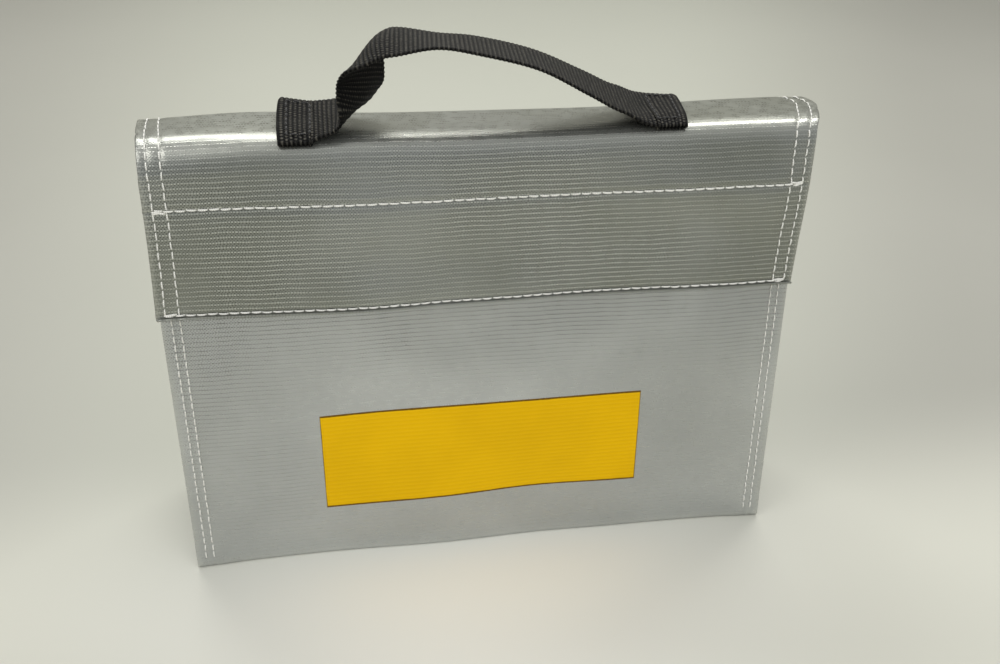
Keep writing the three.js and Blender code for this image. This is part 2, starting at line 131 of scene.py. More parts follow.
def rounded_path(corners, radii, step=0.2):
    """Points at even steps along a polyline whose inner corners are rounded."""
    pts = [np.array(c, float) for c in corners]
    out = [pts[0]]
    for before, here, after, radius in zip(pts, pts[1:], pts[2:], radii):
        a, b = unit(before - here), unit(after - here)
        half = math.acos(float(np.clip(a @ b, -1, 1))) / 2
        back = radius / math.tan(half)
        centre = here + unit(a + b) * radius / math.sin(half)
        u, v = here + a * back - centre, here + b * back - centre
        turn = math.acos(float(np.clip(u @ v / radius**2, -1, 1)))
        for t in np.linspace(0, 1, 25):
            arc = u * math.sin((1 - t) * turn) + v * math.sin(t * turn)
            out.append(centre + arc / math.sin(turn))
    out.append(pts[-1])
    out = np.array(out)
    run = run_along(out)
    even = np.linspace(0, run[-1], int(run[-1] / step) + 1)
    return even, np.stack([np.interp(even, run, out[:, k]) for k in (0, 1)], axis=1)


# ---- How the cloth sags and waves, in millimetres ----

FRONT_BUMPS = ((0.9, -78, 24, 60, 30), (0.8, 84, 22, 78, 34), (-3.4, 19, 31, 20, 24))
FLAP_BUMPS = ((1.9, 76, 30, 156, 12), (1.3, 106, 12, 150, 14), (0.9, -40, 44, 150, 14))


def freedom(x):
    """How freely a wall bulges: less beside the side seams."""
    return 0.25 + 0.75 * smooth(np.abs(x), 119, 100)


def front_wave(x, z):
    """Outward bulge of the front."""
    wave = 0.55 * np.sin(x / 21 + 1.1) * np.sin(z / 29 + 0.4)
    wave = wave + 0.5 * np.sin(x / 37 - z / 26 + 2.0) + bumps(x, z, FRONT_BUMPS)
    foot = np.exp(-((z / 9) ** 2))
    drawn_in = 0.9 * (1 - (x / 120) ** 4) + 0.9 * hill(x, -62, 36) + 0.3 * hill(x, 72, 24)
    return (wave - drawn_in * foot) * freedom(x) + 0.5 * foot * hill(np.abs(x), 120, 12)


def flap_wave(x, z):
    """Outward bulge of the flap: the front's, and a little more where the flap stands off."""
    wave = front_wave(x, z) + bumps(x, z, FLAP_BUMPS)
    edge = 1.9 * hill(x, -40, 24) + 1.3 * hill(x, 2, 26) + 0.25 * (1 + np.sin(x / 13 + 0.5))
    return wave + edge * hill(z, 113, 16)


def back_wave(x, z):
    """Outward bulge of the back."""
    wave = 1.6 * hill(x, -20, 55) * hill(z, 80, 45)
    wave = wave + 0.8 * np.sin(x / 26 + 0.4) * np.sin(z / 34 + 1.2)
    wave = wave + 0.6 * np.sin(x / 41 + z / 23 + 0.7)
    wave = wave - 1.4 * (1 - (x / 118) ** 2) * np.exp(-((z / 8) ** 2))
    return wave * freedom(x)


def top_sag(x, y):
    """Lift of the top strip, more of it towards the back."""
    far = smooth(y, -20, 8)
    sag = -1.7 * hill(x, 14, 46) + 0.8 * hill(x, -84, 26)
    return sag * (0.35 + 0.65 * far) + 0.35 * np.sin(x / 15 + 0.9) * far


def soft_curve(value, knots):
    """Smooth curve through (place, height) pairs."""
    places, heights = np.array(knots, float).T
    slopes = np.gradient(heights, places)
    value = np.clip(np.asarray(value, float), places[0], places[-1])
    k = np.clip(np.searchsorted(places, value) - 1, 0, len(places) - 2)
    width = places[k + 1] - places[k]
    t = (value - places[k]) / width
    return (
        heights[k] * (1 + 2 * t) * (1 - t) ** 2
        + slopes[k] * width * t * (1 - t) ** 2
        + heights[k + 1] * t * t * (3 - 2 * t)
        + slopes[k + 1] * width * t * t * (t - 1)
    )


def walls(y, z):
    """0 on the front wall, 1 on the back wall, at a height."""
    front_y = -BAG_DEPTH_HALF + z * math.tan(FRONT_LEAN)
    back_y = BAG_DEPTH_HALF - z * math.tan(BACK_LEAN)
    return np.clip((y - front_y) / (back_y - front_y), 0, 1)


def warp_bag(x, y, z):
    """Lower cloth and pleated sides."""
    share = walls(y, z)
    move = -(1 - share) * front_wave(x, z) + share * back_wave(x, z)
    return np.stack(np.broadcast_arrays(x, y + move, z), axis=-1)


def warp_wrap(x, y, z):
    """Upper back, top strip and flap."""
    share = smooth(y, -20, 8)
    low = smooth(z, 176, 150)
    front = flap_wave(x, z) * (0.3 + 0.7 * low)
    move = -(1 - share) * front + share * back_wave(x, z)
    lift = top_sag(x, y) * np.where(y > -6, smooth(z, 166, 176), smooth(z, 120, 176))
    return np.stack(np.broadcast_arrays(x, y + move, z + lift), axis=-1)


FOLD_REACH = 9.0  # the wider trace of a fold joins the narrower one this far from the corner


class Strip:
    """Cloth that follows a path in side view. Its outward side is on the right of the path
    as seen from +X, and run is the length along it from the start of the whole cut. Where wide
    is given, the corner is rounder where share(x) says so. spread moves x near the sides."""

    def __init__(self, corners, radii, warp, start=0.0, wide=None, share=None, spread=None):
        self.traces = [self.trace(corners, kind) for kind in (radii, wide) if kind]
        self.corner = float(np.linalg.norm(np.subtract(corners[1], corners[0])))
        self.share, self.spread, self.warp, self.start = share, spread, warp, start
        self.length = float(self.traces[0][0][-1])

    @staticmethod
    def trace(corners, radii):
        run, path = rounded_path(corners, radii)
        along = unit(np.gradient(path, axis=0))
        return run, path, np.stack([along[:, 1], -along[:, 0]], axis=1)

    def flat(self, x, run, off):
        """The point in side view, before the cloth sags."""
        past = np.clip((run - self.corner + FOLD_REACH) / (2 * FOLD_REACH), 0, 1)
        found = []
        for known, path, out in self.traces:
            at = run - (self.length - known[-1]) * past
            there = [np.interp(at, known, line[:, k]) for line in (path, out) for k in (0, 1)]
            found.append([there[0] + off * there[2], there[1] + off * there[3]])
        if len(found) == 1:
            return found[0]
        w = self.share(x)
        return [a * (1 - w) + b * w for a, b in zip(*found)]

    def at(self, x, run, off=0.0):
        x, run, off = np.broadcast_arrays(*(np.asarray(a, float) for a in (x, run, off)))
        y, z = self.flat(x, run, off)
        if self.spread:
            x = self.spread(x, run)
        return self.warp(x, y, z)

    def normal(self, x, run):
        d = 0.25
        run = np.clip(run, d, self.length - d)
        along = self.at(x, run + d) - self.at(x, run - d)
        across = self.at(x + d, run) - self.at(x - d, run)
        return unit(np.cross(along, across))


# ---- Meshes ----


ROUND = "round"  # faces that are shaded round


def placed(name, data):
    """A new object in the scene."""
    obj = bpy.data.objects.new(name, data)
    bpy.context.scene.collection.objects.link(obj)
    return obj


def make_object(name, verts, faces, uv, values):
    """verts in millimetres. uv, in metres, and values, named point values, go with the points."""
    mesh = bpy.data.meshes.new(name)
    mesh.from_pydata((np.asarray(verts) * MM).tolist(), [], [list(f) for f in faces])
    layer = mesh.uv_layers.new(name="UVMap")
    corner = np.empty(len(mesh.loops), np.int64)
    mesh.loops.foreach_get("vertex_index", corner)
    layer.data.foreach_set("uv", np.asarray(uv)[corner].astype(np.float32).ravel())
    values = dict(values)
    rounded = values.pop(ROUND, np.ones(len(mesh.polygons)))
    mesh.polygons.foreach_set("use_smooth", np.asarray(rounded, bool))
    crisp = np.zeros(len(mesh.edges), bool)
    for face, smooth_face in zip(mesh.polygons, rounded):
        if not smooth_face:
            crisp[[mesh.loops[k].edge_index for k in face.loop_indices]] = True
    if crisp.any():
        mesh.attributes.new("sharp_edge", "BOOLEAN", "EDGE").data.foreach_set("value", crisp)
    for key, value in values.items():
        attribute = mesh.attributes.new(key, "FLOAT", "POINT")
        attribute.data.foreach_set("value", np.asarray(value, np.float32))
    mesh.update()
    return placed(name, mesh)


RIM = 4  # steps round the rim of a layer


def slab(points, thickness, uv, out=1, values=None, cut=()):
    """Closed layer under a grid of points on its outer face, with rounded edges, or cut
    square at the first or the last row, where another piece goes on. Returns points, faces,
    uv and values. out is -1 where the grid runs the other way round."""
    points = np.asarray(points, float)
    rows, cols = points.shape[:2]
    thickness = np.broadcast_to(np.asarray(thickness, float), (rows, cols))
    di, dj = np.gradient(points, axis=0), np.gradient(points, axis=1)
    normal = unit(np.cross(di, dj) * out)
    inner = points - normal * thickness[..., None]
    index = np.arange(rows * cols).reshape(rows, cols)
    verts = [points.reshape(-1, 3), inner.reshape(-1, 3)]
    uvs = [uv.reshape(-1, 2), uv.reshape(-1, 2)]
    quads = [index[:-1, :-1], index[1:, :-1], index[1:, 1:], index[:-1, 1:]]
    quads = np.stack(quads, axis=-1).reshape(-1, 4)
    if out < 0:
        quads = quads[:, ::-1]
    count = rows * cols
    faces = [quads, quads[:, ::-1] + count]
    loop = (
        [(0, j) for j in range(cols - 1)]
        + [(i, cols - 1) for i in range(rows - 1)]
        + [(rows - 1, j) for j in range(cols - 1, 0, -1)]
        + [(i, 0) for i in range(rows - 1, 0, -1)]
    )
    li, lj = np.array(loop).T
    edges = ((li == 0, -di), (li == rows - 1, di), (lj == 0, -dj), (lj == cols - 1, dj))
    outward = unit(sum(np.where(on[:, None], unit(step[li, lj]), 0) for on, step in edges))
    square = np.zeros(len(loop), bool)
    for edge in cut:
        square |= li == (0 if edge == "first" else rows - 1)
    outward[square] = 0
    middle = (points[li, lj] + inner[li, lj]) / 2
    reach = thickness[li, lj][:, None] / 2
    previous = li * cols + lj
    total = 2 * count
    plain = ~(square & np.roll(square, -1))
    shading = [np.ones(2 * len(quads))]
    for ring in range(1, RIM + 1):
        if ring < RIM:
            turn = math.pi * ring / RIM
            rim = normal[li, lj] * math.cos(turn) + outward * math.sin(turn)
            verts.append(middle + reach * rim)
            uvs.append(uv[li, lj])
            current = total + np.arange(len(loop))
            total += len(loop)
        else:
            current = li * cols + lj + count
        following = np.roll(previous, -1)
        band = np.stack([previous, following, np.roll(current, -1), current], axis=-1)
        faces.append(band[:, ::-1] if out < 0 else band)
        shading.append(plain)
        previous = current
    data = {ROUND: np.concatenate(shading)}
    for key, value in (values or {}).items():
        value = np.broadcast_to(np.asarray(value, float), (rows, cols))
        data[key] = np.concatenate([value.ravel()] * 2 + [value[li, lj]] * (RIM - 1))
    return np.concatenate(verts), np.concatenate(faces), np.concatenate(uvs), data


def merged(parts):
    """One set of points, faces, uv and values out of several."""
    verts, faces, uvs, values = [], [], [], {}
    start = 0
    for v, f, t, d in parts:
        verts.append(v)
        faces.extend([[int(corner) + start for corner in face] for face in f])
        uvs.append(t)
        for key, value in d.items():
            values.setdefault(key, []).append(value)
        start += len(v)
    values = {key: np.concatenate(value) for key, value in values.items()}
    return np.concatenate(verts), faces, np.concatenate(uvs), values


def thinned(places, low, high, least):
    """The places from low to high in order, without those too close to the one before."""
    places = sorted(place for place in places if low <= place <= high)
    kept = places[:1]
    for place in places[1:]:
        if place - kept[-1] > least:
            kept.append(place)
    kept[-1] = high
    return np.array(kept)


def columns(rows_at):
    """Places across a cloth: even ones, and close ones beside each row of stitches."""
    half = BAG_HALF - CLOTH / 2
    xs = list(np.linspace(-half, half, int(2 * half / 2.4) + 1))
    for row in rows_at:
        for side in (-1, 1):
            xs += [side * (row + k * 0.7) for k in (-2, -1, 0, 1, 2)]
    return thinned(xs, -half, half, 0.3)


def runs_of(length, step, finer):
    """Places along a cloth: even ones, and close ones round each of finer."""
    runs = list(np.linspace(0, length, int(length / step) + 1))
    for centre, reach, fine in finer:
        runs += list(np.arange(centre - reach, centre + reach, fine))
    return thinned(runs, 0, length, 0.25)


SEAM_DEPTH = 0.3


def groove(value, rows_at):
    """Dip that rows of stitches pull into the cloth."""
    return sum(SEAM_DEPTH * hill(value, row, 1.0) for row in rows_at)


def strip_grid(strip, xs, runs):
    """Places across and along a strip, and the uv there, in metres."""
    x, r = np.meshgrid(xs, runs)
    return x, r, np.stack([x, r + strip.start], axis=-1) * MM


# ---- Node materials ----


class Nodes:
    """A material's node tree, with one method for each kind of node."""

    def __init__(self, name):
        self.material = bpy.data.materials.new(name)
        self.material.use_nodes = True
        self.tree = self.material.node_tree
        self.tree.nodes.clear()
        self.shader = self.tree.nodes.new("ShaderNodeBsdfPrincipled")
        output = self.tree.nodes.new("ShaderNodeOutputMaterial")
        self.tree.links.new(self.shader.outputs[0], output.inputs["Surface"])

    def plug(self, socket, value):
        if isinstance(value, bpy.types.NodeSocket):
            self.tree.links.new(value, socket)
        else:
            socket.default_value = value

    def new(self, kind, inputs=(), **settings):
        """A node with its settings, and a value or a link for each of its inputs."""
        node = self.tree.nodes.new("ShaderNode" + kind)
        for key, value in settings.items():
            setattr(node, key, value)
        for key, value in inputs:
            self.plug(node.inputs[key], value)
        return node

    def math(self, op, *values):
        return self.new("Math", enumerate(values), operation=op).outputs[0]

    def add(self, a, b):
        return self.math("ADD", a, b)

    def size(self, value):
        return self.math("ABSOLUTE", value)

    def times(self, *values):
        product = values[0]
        for value in values[1:]:
            product = self.math("MULTIPLY", product, value)
        return product

    def sine(self, *factors):
        return self.math("SINE", self.times(*factors))

    def centred(self, value):
        return self.math("SUBTRACT", value, 0.5)

    def wander(self, vector, scale, detail, reach):
        """Noise to both sides of 0."""
        return self.times(self.centred(self.noise(vector, scale, detail)), reach)

    def odd(self, value):
        """1 in every other step of 1, 0 in between."""
        return self.math("MODULO", self.math("FLOOR", value), 2.0)

    def parts(self, vector):
        node = self.new("SeparateXYZ", [(0, vector)])
        return node.outputs[0], node.outputs[1]

    def coordinates(self):
        uv = self.new("UVMap", uv_map="UVMap").outputs[0]
        return uv, *self.parts(uv)

    def place(self):
        return self.new("TexCoord").outputs["Object"]

    def noise(self, vector, scale, detail, rough=0.5):
        keys = ("Vector", "Scale", "Detail", "Roughness")
        return self.new("TexNoise", zip(keys, (vector, scale, detail, rough))).outputs[0]

    def ramp(self, value, low, high, out_low=0.0, out_high=1.0):
        keys = ("Value", "From Min", "From Max", "To Min", "To Max")
        inputs = zip(keys, (value, low, high, out_low, out_high))
        return self.new("MapRange", inputs, interpolation_type="SMOOTHSTEP").outputs[0]

    def mix(self, share, a, b):
        return self.new("Mix", ((0, share), (6, a), (7, b)), data_type="RGBA").outputs[2]

    def value(self, name):
        return self.new("Attribute", attribute_name=name).outputs["Fac"]

    def bump(self, height, distance, strength, normal=None):
        inputs = [("Strength", strength), ("Distance", distance), ("Height", height)]
        if normal is not None:
            inputs.append(("Normal", normal))
        return self.new("Bump", inputs).outputs[0]

    def set(self, **values):
        for key, value in values.items():
            self.plug(self.shader.inputs[SHADER_INPUTS[key]], value)
        return self.material


SHADER_INPUTS = {
    "colour": "Base Color",
    "metal": "Metallic",
    "rough": "Roughness",
    "normal": "Normal",
    "coat": "Coat Weight",
    "coat_rough": "Coat Roughness",
    "sheen": "Sheen Weight",
    "sheen_rough": "Sheen Roughness",
    "specular": "Specular IOR Level",
}


def srgb(r, g, b):
    """A colour of 0 to 255 for a node's socket."""

    def linear(c):
        c /= 255
        return c / 12.92 if c <= 0.04045 else ((c + 0.055) / 1.055) ** 2.4

    return (linear(r), linear(g), linear(b), 1.0)


# Pitches of the silver cloth's weave, in metres
RIB_PITCH = 0.0018
DASH_PITCH = 0.00105
GROUND_PITCH = 0.0006
RIB_DRIFT = 0.0014  # how far the rows and the dashes stray
DASH_JITTER = 0.0008


def silver_cloth(name, tones, line, least):
    """Coated woven cloth: level rows of raised dashes over a finer plain weave. tones are the
    light, middle and dark ones, line has the rows' tone and its strength, and least is how
    much of the weave shows where it is worn smooth. The point value calm hides the weave, and
    the wear value lightens the cloth: bare coating where it is worn, and painted highlight
    along the folds and the flap's hem."""
    n = Nodes(name)
    uv, u, v = n.coordinates()
    light, middle, dark = (srgb(*tone) for tone in tones)
    level = n.add(v, n.wander(uv, 45, 2, RIB_DRIFT))
    row = n.math("DIVIDE", level, RIB_PITCH)
    along = n.add(u, n.wander(uv, 500, 1, DASH_JITTER))
    dash_at = n.add(n.math("DIVIDE", along, DASH_PITCH), n.times(n.odd(row), 0.5))
    ridge = n.ramp(n.size(n.centred(n.math("FRACT", row))), 0.04, 0.19, 1.0, 0.0)
    dash = n.ramp(n.size(n.centred(n.math("FRACT", dash_at))), 0.18, 0.40, 1.0, 0.1)
    yarn = n.times(ridge, dash)
    check = n.times(
        n.sine(along, math.pi / GROUND_PITCH), n.sine(level, math.pi / (RIB_PITCH / 3))
    )
    patch = n.ramp(n.noise(uv, 17, 3), 0.36, 0.64, least, 1.0)
    shown = n.times(patch, n.math("SUBTRACT", 1.0, n.value("calm")))
    grain = n.noise(uv, 1500, 2, 0.7)
    colour = n.mix(n.ramp(n.noise(uv, 15, 3), 0.32, 0.68), middle, light)
    # Darker in the pits of the fine plain weave: painted shade there
    colour = n.mix(n.times(n.ramp(check, 0.0, 0.6, 0.0, 0.85), shown), colour, dark)
    colour = n.mix(n.times(n.ramp(grain, 0.48, 0.7, 0.0, 0.6), shown), colour, light)
    colour = n.mix(n.times(yarn, shown, line[1]), colour, srgb(*line[0]))
    colour = n.mix(n.ramp(n.noise(uv, 120, 3, 0.6), 0.55, 0.75, 0.0, 0.08), colour, dark)
    # Lighter where the coating is worn bare, and painted highlight along the folds and the flap's
    # hem edge
    colour = n.mix(n.times(n.value("wear_and_highlight"), 0.5), colour, srgb(220, 220, 210))
    rough = n.add(n.ramp(n.noise(uv, 300, 3), 0.3, 0.7, 0.28, 0.38), n.times(yarn, -0.06))
    height = n.add(yarn, n.times(check, -0.35))
    crinkle = n.bump(n.noise(uv, 48, 3, 0.5), 0.0008, 0.3)
    weave = n.bump(n.times(height, shown), 0.00008, 0.9, crinkle)
    fine = n.bump(grain, 0.00003, 0.4, weave)
    return n.set(colour=colour, metal=0.85, rough=rough, normal=fine, coat=0.1, coat_rough=0.2)


STRAP_RIB = 1.6  # pitch of the ribs across the strap, in millimetres
STRAP_YARN = 0.0011


def webbing_cloth():
    """Black woven webbing: ribs across the strap, each a row of short yarns, with painted highlight
    dots on the yarns and painted shade between the ribs.
    """
    n = Nodes("black_webbing_weave")
    uv, u, v = n.coordinates()
    along = n.math("DIVIDE", u, STRAP_RIB * MM)
    across = n.add(n.math("DIVIDE", v, STRAP_YARN), n.times(n.odd(along), 0.5))
    yarn = n.size(n.sine(n.add(across, n.wander(uv, 600, 2, 0.35)), math.pi))
    ridge = n.size(n.sine(along, math.pi))
    height = n.times(n.math("POWER", ridge, 0.7), n.add(0.25, yarn))
    fibre = n.noise(uv, 3800, 2, 0.7)
    dot = n.ramp(height, 0.72, 1.2)
    painted_glint = n.times(dot, n.ramp(n.noise(uv, 700, 2), 0.38, 0.62, 0.15, 1.0))
    worn = n.ramp(n.noise(uv, 90, 3), 0.45, 0.75, 0.0, 0.4)
    # Darker down between the ribs: painted shade
    colour = n.mix(n.ramp(height, 0.3, 1.0), srgb(4, 4, 4), srgb(30, 29, 27))
    # Painted highlight dots on the yarns' tops
    colour = n.mix(n.times(painted_glint, 0.5), colour, srgb(118, 114, 102))
    colour = n.mix(n.times(worn, n.ramp(fibre, 0.5, 0.85)), colour, srgb(78, 76, 70))
    rough = n.ramp(fibre, 0.2, 0.8, 0.5, 0.75)
    normal = n.bump(fibre, 0.00005, 0.6, n.bump(height, 0.00025, 0.9))
    return n.set(colour=colour, rough=rough, normal=normal, specular=0.15)


def thread_cloth(name, pale, shade):
    """Twisted thread, its plies slanting round it."""
    n = Nodes(name)
    uv, u, v = n.coordinates()
    slant = n.add(n.math("DIVIDE", u, 0.0007), n.math("DIVIDE", v, 0.0012))
    ply = n.sine(slant, 2 * math.pi)
    fibre = n.noise(uv, 2600, 2, 0.7)
    colour = n.mix(n.ramp(ply, -0.9, 0.5), shade, pale)
    colour = n.mix(n.ramp(fibre, 0.5, 0.8, 0.0, 0.3), colour, pale)
    normal = n.bump(fibre, 0.00003, 0.5, n.bump(ply, 0.00006, 0.8))
    rough = n.ramp(fibre, 0.2, 0.8, 0.45, 0.65)
    return n.set(colour=colour, rough=rough, normal=normal, sheen=0.2, sheen_rough=0.4)


def pile_cloth(name, dark, pale, scale, depth):
    """Closing strips: matted loops, or rows of small hooks on a ribbed tape."""
    n = Nodes(name)
    uv = n.coordinates()[0]
    matted = n.noise(uv, scale, 4, 0.75)
    cells = n.new("TexVoronoi", (("Vector", uv), ("Scale", scale * 0.8)))
    tips = n.ramp(cells.outputs["Distance"], 0.0, 0.6, 1.0, 0.0)
    height = n.add(n.times(matted, 0.6), n.times(tips, 0.4))
    # Painted shade down in the pile and painted highlight on the tips
    colour = n.mix(n.ramp(height, 0.3, 0.85), dark, pale)
    normal = n.bump(height, depth, 0.9)
    rough = n.ramp(matted, 0.2, 0.8, 0.75, 0.95)
    return n.set(colour=colour, rough=rough, normal=normal, sheen=0.35, sheen_rough=0.6)


LABEL_HALF = (64.5, 21.5)  # across and up, in millimetres
LABEL_MIDDLE = (-1.5, 46.0)
BORDER = (0.00052, 0.00085)  # where the border ends, in from the edge, in metres


def yellow_print():
    """Bare yellow panel printed over the weave, with a thin dark border and worn ink."""
    n = Nodes("yellow_print_ink")
    uv, u, v = n.coordinates()
    wobble = n.wander(uv, 90, 2, 0.0005)
    inside = [
        n.math("SUBTRACT", half * MM, n.size(n.add(socket, wobble)))
        for socket, half in zip((u, v), LABEL_HALF)
    ]
    border = n.ramp(n.math("MINIMUM", *inside), *BORDER, 1.0, 0.0)
    row = n.sine(n.math("DIVIDE", v, RIB_PITCH), 2 * math.pi)
    grain = n.noise(uv, 900, 3, 0.7)
    cloud = n.noise(uv, 28, 2)
    colour = n.mix(n.ramp(cloud, 0.3, 0.7), srgb(222, 173, 0), srgb(230, 180, 0))
    colour = n.mix(n.ramp(row, -0.2, 1.0, 0.0, 0.12), colour, srgb(250, 205, 40))
    colour = n.mix(n.ramp(grain, 0.68, 0.8, 0.0, 0.3), colour, srgb(205, 165, 60))
    border = n.times(border, n.ramp(grain, 0.2, 0.7, 1.0, 0.8))
    colour = n.mix(border, colour, srgb(74, 50, 22))
    normal = n.bump(grain, 0.00003, 0.5, n.bump(row, 0.00008, 0.4))
    rough = n.ramp(grain, 0.3, 0.7, 0.42, 0.56)
    return n.set(colour=colour, rough=rough, normal=normal, specular=0.1)


# The flap, the top and the upper back use a darker copy of the body's silver cloth: painted shade
# for their darker reflections
flap_shaded_tones = (158, 160, 155), (139, 141, 132), (74, 76, 69)
body_tones = (194, 196, 195), (180, 182, 181), (88, 89, 84)
flap_cloth = silver_cloth("silver_cloth_flap_shaded", flap_shaded_tones, ((228, 230, 220), 0.7), 0.5)
body_cloth = silver_cloth("silver_cloth_body", body_tones, ((84, 85, 79), 0.75), 0.4)
webbing = webbing_cloth()
white_thread = thread_cloth("white_thread_ply", srgb(250, 249, 243), srgb(214, 211, 200))
black_thread = thread_cloth("black_thread_ply", srgb(34, 34, 33), srgb(8, 8, 8))
loop_pile = pile_cloth("loop_pile_mat", srgb(10, 10, 11), srgb(62, 62, 64), 1500, 0.0006)
hook_tape = pile_cloth("hook_tape_mat", srgb(14, 14, 15), srgb(74, 74, 76), 900, 0.0008)
label_ink = yellow_print()


FLAP_BEND_START = (FRONT_FOLD[0] + 4.5, FRONT_FOLD[1] + 1.6)
# The two bodies that a piece bends between, and where its bend starts and ends in side view
BENDS = {
    "back": ("bag", "top_strip", back_at(171.0), (BACK_FOLD[0] - 4.5, BACK_FOLD[1] + 1.2)),
    "front": ("top_strip", "flap", FLAP_BEND_START, front_at(170.0, FLAP_OFF)),
    "handle": ("top_strip", "handle", (STRAP_Y, 179.5), (STRAP_Y, 188.5)),
}


def add_piece(name, layer, material, nodes, where):
    """Makes a piece out of points, faces, uv and values. nodes are the ones it stands for, and
    where is its body or its bend."""
    obj = make_object(name, *layer)
    obj.data.materials.append(material)
    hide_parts(*nodes)
    if where in BENDS:
        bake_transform(obj)
    else:
        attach(obj, where)
    return obj


# ---- Cloth ----

BODY_ROWS = (BAG_HALF - 3.9, BAG_HALF - 6.9)
FLAP_ROWS = (BAG_HALF - 3.1, BAG_HALF - 7.8)
FOOT_RADIUS = 1.8
SIDE_HEM = 8.2  # turned in at each side of the flap


def side_spread(left, right):
    """Moves the cloth's sides in or out: each curve gives the half width along the run."""

    def spread(x, run):
        half = np.where(x < 0, soft_curve(run, left), soft_curve(run, right))
        return x + np.sign(x) * (half - BAG_HALF) * smooth(np.abs(x), 70, BAG_HALF)

    return spread


def fold_roundness(x):
    """The front fold is rolled widest at the left end."""
    return 0.4 + 0.6 * smooth(x, -52, -112) - 0.1 * smooth(x, 66, 112)


corners = [front_at(MOUTH_SLANT), front_at(0), back_at(0), back_at(JOIN_SLANT)]
pouch = Strip(corners, [FOOT_RADIUS, FOOT_RADIUS], warp_bag)
upper_back = Strip(
    [back_at(JOIN_SLANT), BACK_CORNER, TOP_MIDDLE],
    [2.4],
    warp_wrap,
    pouch.length,
    spread=side_spread(
        [(0, 120), (6, 120.4), (12, 121.5), (18, 121.4), (26, 120.7)],
        [(0, 120), (6, 121), (11, 124.4), (15, 127.6), (20, 129.0), (26, 127.6)],
    ),
)
flap = Strip(
    [TOP_MIDDLE, FRONT_CORNER, front_at(FLAP_EDGE, FLAP_OFF)],
    [7],
    warp_wrap,
    pouch.length + upper_back.length,
    wide=[13],
    share=fold_roundness,
    spread=side_spread(
        [(0, 120.7), (7, 119.9), (14, 119.4), (30, 119.2), (52, 119.5), (76, 120.3)],
        [(0, 127.6), (7, 125.2), (14, 122.4), (22, 121.6), (36, 121.1), (56, 119.9), (76, 118.6)],
    ),
)


# Lower cloth: front with its hem at the mouth, base, and back up to the join
BASE_RUN = MOUTH_SLANT + 2 * BAG_DEPTH_HALF
FOOT_RUNS = (MOUTH_SLANT - 1.4, BASE_RUN - 4)  # the two rounded feet
xs = columns(BODY_ROWS)
finer = [(FOOT_RUNS[0], 4, 0.6), (FOOT_RUNS[1], 4, 0.6), (MOUTH_HEM, 0.9, 0.6)]
runs = runs_of(pouch.length, 2.6, finer)
runs[0] = HEM / 2
x, r, uv = strip_grid(pouch, xs, runs)
points = pouch.at(x, r, -groove(np.abs(x), BODY_ROWS))
hemmed = smooth(r, MOUTH_HEM + 0.3, MOUTH_HEM - 0.3) * smooth(np.abs(x), 111.2, 110.6)
thick = CLOTH + (HEM - CLOTH) * hemmed
height = MOUTH_SLANT - r
# The weave's dark dashes show most near the top of the front, partly as painted shade under the
# flap
calm = 0.9 * smooth(height, 104, 66) * (1 - 0.5 * smooth(x, -50, -95) * smooth(height, 10, 40))
calm = calm + 0.15 * hill(x, 10, 60) * hill(height, 95, 30)
calm = np.clip(calm * (r < MOUTH_SLANT) + 0.55 * hill(np.abs(x), BAG_HALF, 3), 0, 0.95)
foot = hill(r, FOOT_RUNS[0], 2.2) + hill(r, FOOT_RUNS[1], 2.2)
wear_and_highlight = 0.35 * hill(np.abs(x), BAG_HALF, 0.9) + 0.3 * foot
layer = slab(points, thick, uv, values={"calm": calm, "wear_and_highlight": wear_and_highlight}, cut=("last",))
obj = add_piece(
    "body_cloth", layer, body_cloth, ["front_panel", "base_panel"], "bag"
)

# Upper back and the back half of the top
xs = columns(BODY_ROWS)
runs = runs_of(upper_back.length, 1.6, [(11.5, 3.5, 0.45)])
x, r, uv = strip_grid(upper_back, xs, runs)
over = r / upper_back.length
dip = groove(np.abs(x), BODY_ROWS) * (1 - over) + groove(np.abs(x), FLAP_ROWS) * over
points = upper_back.at(x, r, -dip)
# Lighter at the worn side edges, with painted highlight along the back fold
wear_and_highlight = 0.35 * hill(np.abs(x), BAG_HALF, 0.9) + 0.25 * hill(r, 11.5, 2)
values = {"calm": 0.55 + 0.44 * smooth(r, 10, 15), "wear_and_highlight": wear_and_highlight}
layer = slab(points, CLOTH, uv, values=values, cut=("first", "last"))
obj = add_piece(
    "upper_back_cloth", layer, flap_cloth, ["back_panel", "top_strip"], "back"
)

# Front half of the top, and the flap with its hems
LEVEL_ROWS = (flap.length - 2.1, flap.length - 41.0)  # level rows of stitches
HEM_RUN = flap.length - FLAP_HEM
xs = columns(FLAP_ROWS + (BAG_HALF - SIDE_HEM,))
finer = [(14, 9, 0.6), (LEVEL_ROWS[0], 1.6, 0.6), (LEVEL_ROWS[1], 1.8, 0.6), (HEM_RUN, 0.9, 0.6)]
runs = runs_of(flap.length, 2.2, finer)
runs[-1] = flap.length - HEM / 2
x, r, uv = strip_grid(flap, xs, runs)
aside = np.abs(x)
level_dip = groove(r, LEVEL_ROWS) * smooth(aside, 120, 118.5)
points = flap.at(x, r, -np.maximum(groove(aside, FLAP_ROWS), level_dip))
inner_hem = smooth(r, HEM_RUN - 0.3, HEM_RUN + 0.3)
side_hem = smooth(aside, BAG_HALF - SIDE_HEM - 0.3, BAG_HALF - SIDE_HEM + 0.3)
thick = CLOTH + (HEM - CLOTH) * np.maximum(inner_hem, side_hem * smooth(r, 21, 24))
# Lighter at the worn side edges, with painted highlight along the hem edge
wear_and_highlight = 0.5 * hill(aside, BAG_HALF, 1.0) * smooth(r, 12, 20) + 0.55 * hill(r, flap.length, 1.0)
